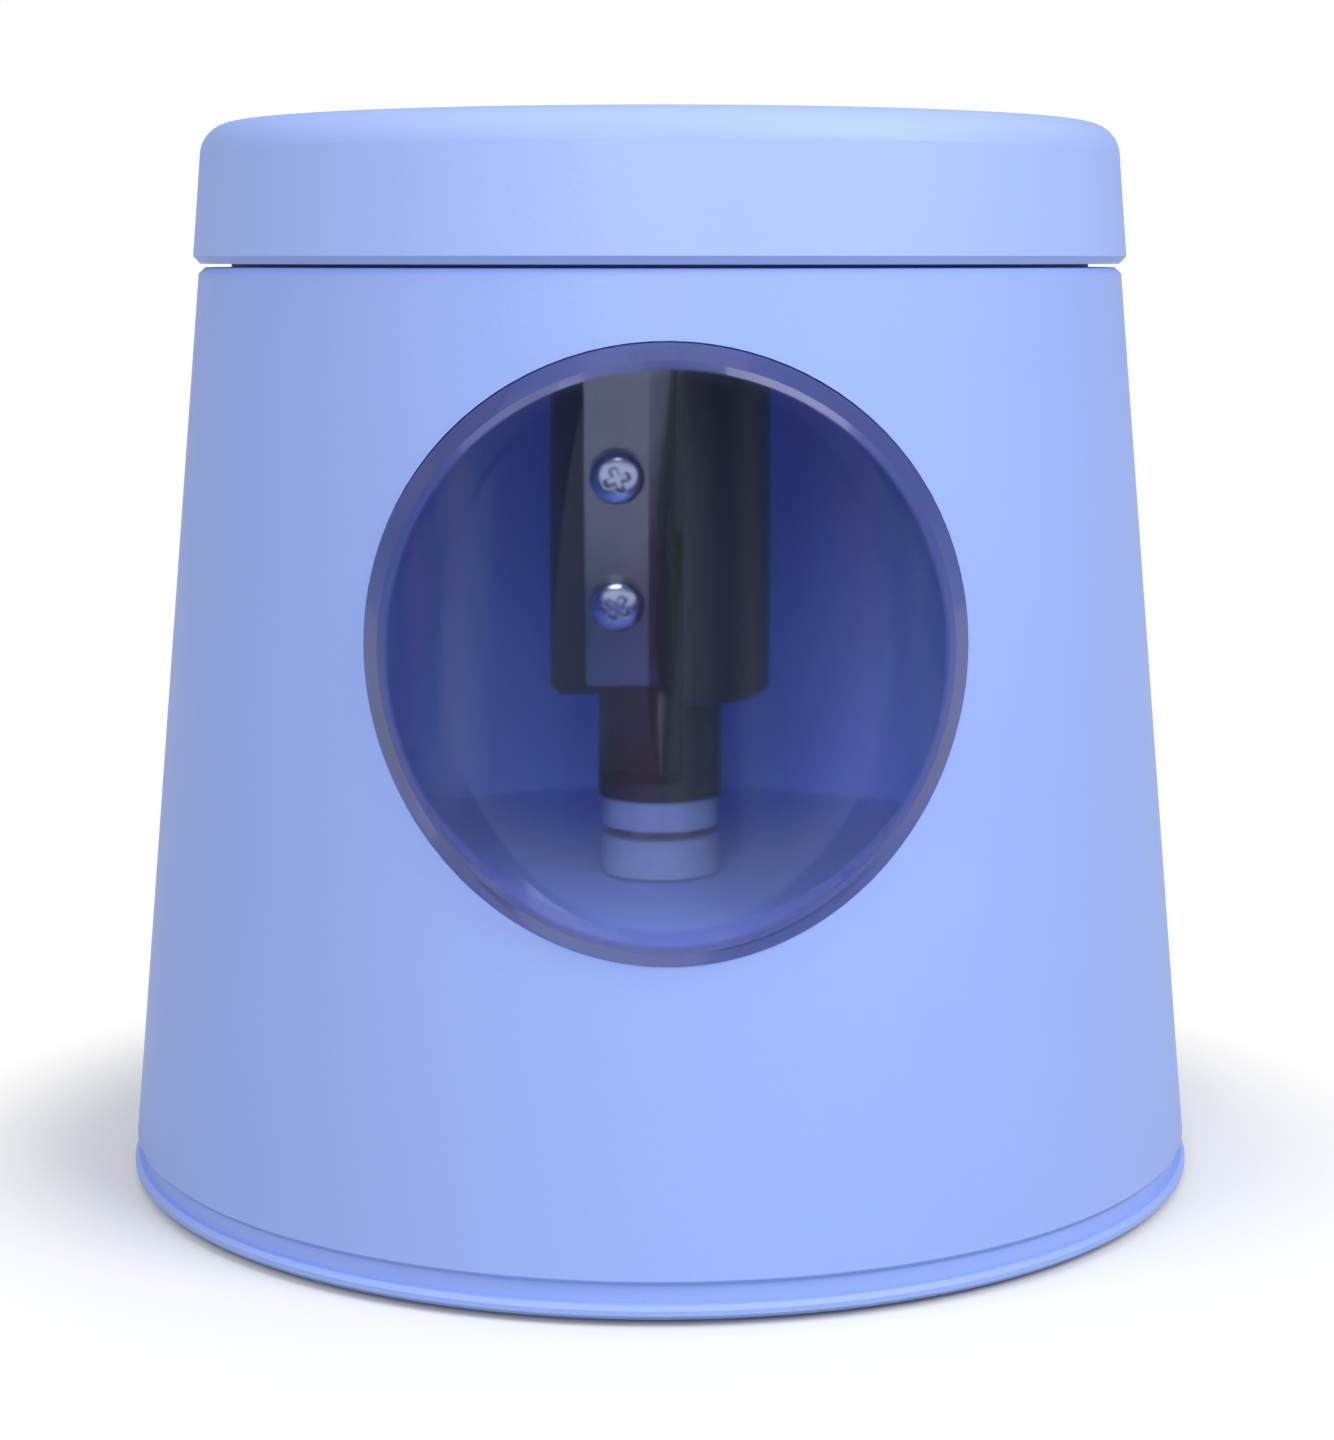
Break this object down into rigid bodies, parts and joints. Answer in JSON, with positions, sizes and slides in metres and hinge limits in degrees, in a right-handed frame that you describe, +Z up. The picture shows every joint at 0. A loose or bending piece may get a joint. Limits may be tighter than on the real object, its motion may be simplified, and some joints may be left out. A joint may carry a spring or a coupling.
{
  "type": "battery pencil sharpener",
  "caption": "Tapered round desk pencil sharpener with a tinted round window: a pencil pressed in from above starts a battery motor that turns the upright cutter.",
  "frame": {"origin": "on the table, under the middle of the base, at the bottom of the feet", "axes": "+Z up along the cutter's axis, -Y towards the window"},
  "size_m": [0.0804, 0.0804, 0.0777],
  "materials": {
    "shell_plastic": "satin moulded, lavender blue",
    "lid_plastic": "satin moulded, lavender blue",
    "base_plastic": "satin moulded, lavender blue",
    "door_plastic": "satin moulded, lavender blue",
    "guide_plastic": "satin moulded, deeper blue",
    "window_tint": "clear moulded, violet-blue tint",
    "holder_plastic": "satin moulded, black",
    "blade_steel": "ground",
    "screw_steel": "bright plated",
    "coupling_plastic": "satin moulded, pale lilac",
    "bearing_plastic": "low friction plastic, off-white",
    "shaft_steel": "ground bar",
    "spring_steel": "spring wire",
    "gear_plastic": "moulded nylon, off-white",
    "pinion_brass": "turned",
    "bush_brass": "sintered",
    "plate_steel": "zinc plated sheet",
    "motor_steel": "plated can",
    "motor_cap_plastic": "moulded, black",
    "foot_rubber": "soft",
    "cell_sleeve": "plain sleeve with bright ends",
    "contact_nickel": "nickel plated strip",
    "switch_plastic": "moulded, black",
    "leaf_brass": "spring strip"
  },
  "bodies": {
    "housing": {"body_shell": "shell_plastic", "window": "window_tint", "motor_can": "motor_steel", "motor_cap": "motor_cap_plastic", "motor_terminals": "leaf_brass", "motor_screws": "screw_steel", "gear_plate": "plate_steel", "plate_screws": "screw_steel", "deck_bush": "bush_brass", "plate_bush": "bush_brass", "base_plate": "base_plastic", "base_screws": "screw_steel", "feet": "foot_rubber", "battery_cells": "cell_sleeve", "contact_bridge": "contact_nickel", "contact_plus": "contact_nickel", "contact_minus": "contact_nickel", "switch_block": "switch_plastic", "switch_contact": "leaf_brass"},
    "lid": {"lid": "lid_plastic", "pencil_guide": "guide_plastic", "top_bearing": "bearing_plastic"},
    "drive": {"drive_spindle": "shaft_steel", "drive_gear": "gear_plastic", "drive_cup": "coupling_plastic", "spindle_clip": "spring_steel", "return_spring": "spring_steel"},
    "cutter": {"cutter_holder": "holder_plastic", "blade": "blade_steel", "blade_screws": "screw_steel", "drive_collar": "coupling_plastic", "switch_pin": "shaft_steel"},
    "rotor": {"motor_shaft": "shaft_steel", "motor_pinion": "pinion_brass"},
    "leaf": {"switch_leaf": "leaf_brass"},
    "door": {"battery_door": "door_plastic"}
  },
  "joints": [
    {"name": "lid_lift", "type": "slide", "parent": "housing", "child": "lid", "axis": [0, 0, 1], "range_m": [0, 0.03]},
    {"name": "cutter_spin", "type": "hinge", "parent": "housing", "child": "drive", "pos_m": [0, 0, 0.018], "axis": [0, 0, 1], "continuous": true},
    {"name": "cutter_press", "type": "slide", "parent": "drive", "child": "cutter", "axis": [0, 0, -1], "range_m": [0, 0.0006], "stiffness_N_per_m": 600, "springref_m": -0.003, "deforming": ["return_spring"]},
    {"name": "motor_spin", "type": "hinge", "parent": "housing", "child": "rotor", "pos_m": [0, 0.01762, 0.01], "axis": [0, 0, 1], "continuous": true},
    {"name": "leaf_bend", "type": "hinge", "parent": "housing", "child": "leaf", "pos_m": [0.012, 0, 0.01222], "axis": [0, -1, 0], "range_deg": [0, 2.7]},
    {"name": "door_drop", "type": "slide", "parent": "housing", "child": "door", "axis": [0, 0, -1], "range_m": [0, 0.02]}
  ],
  "couplings": [
    {"joint": "motor_spin", "follows": "cutter_spin", "ratio": -6},
    {"joint": "leaf_bend", "follows": "cutter_press", "rad_per_m": 75}
  ]
}
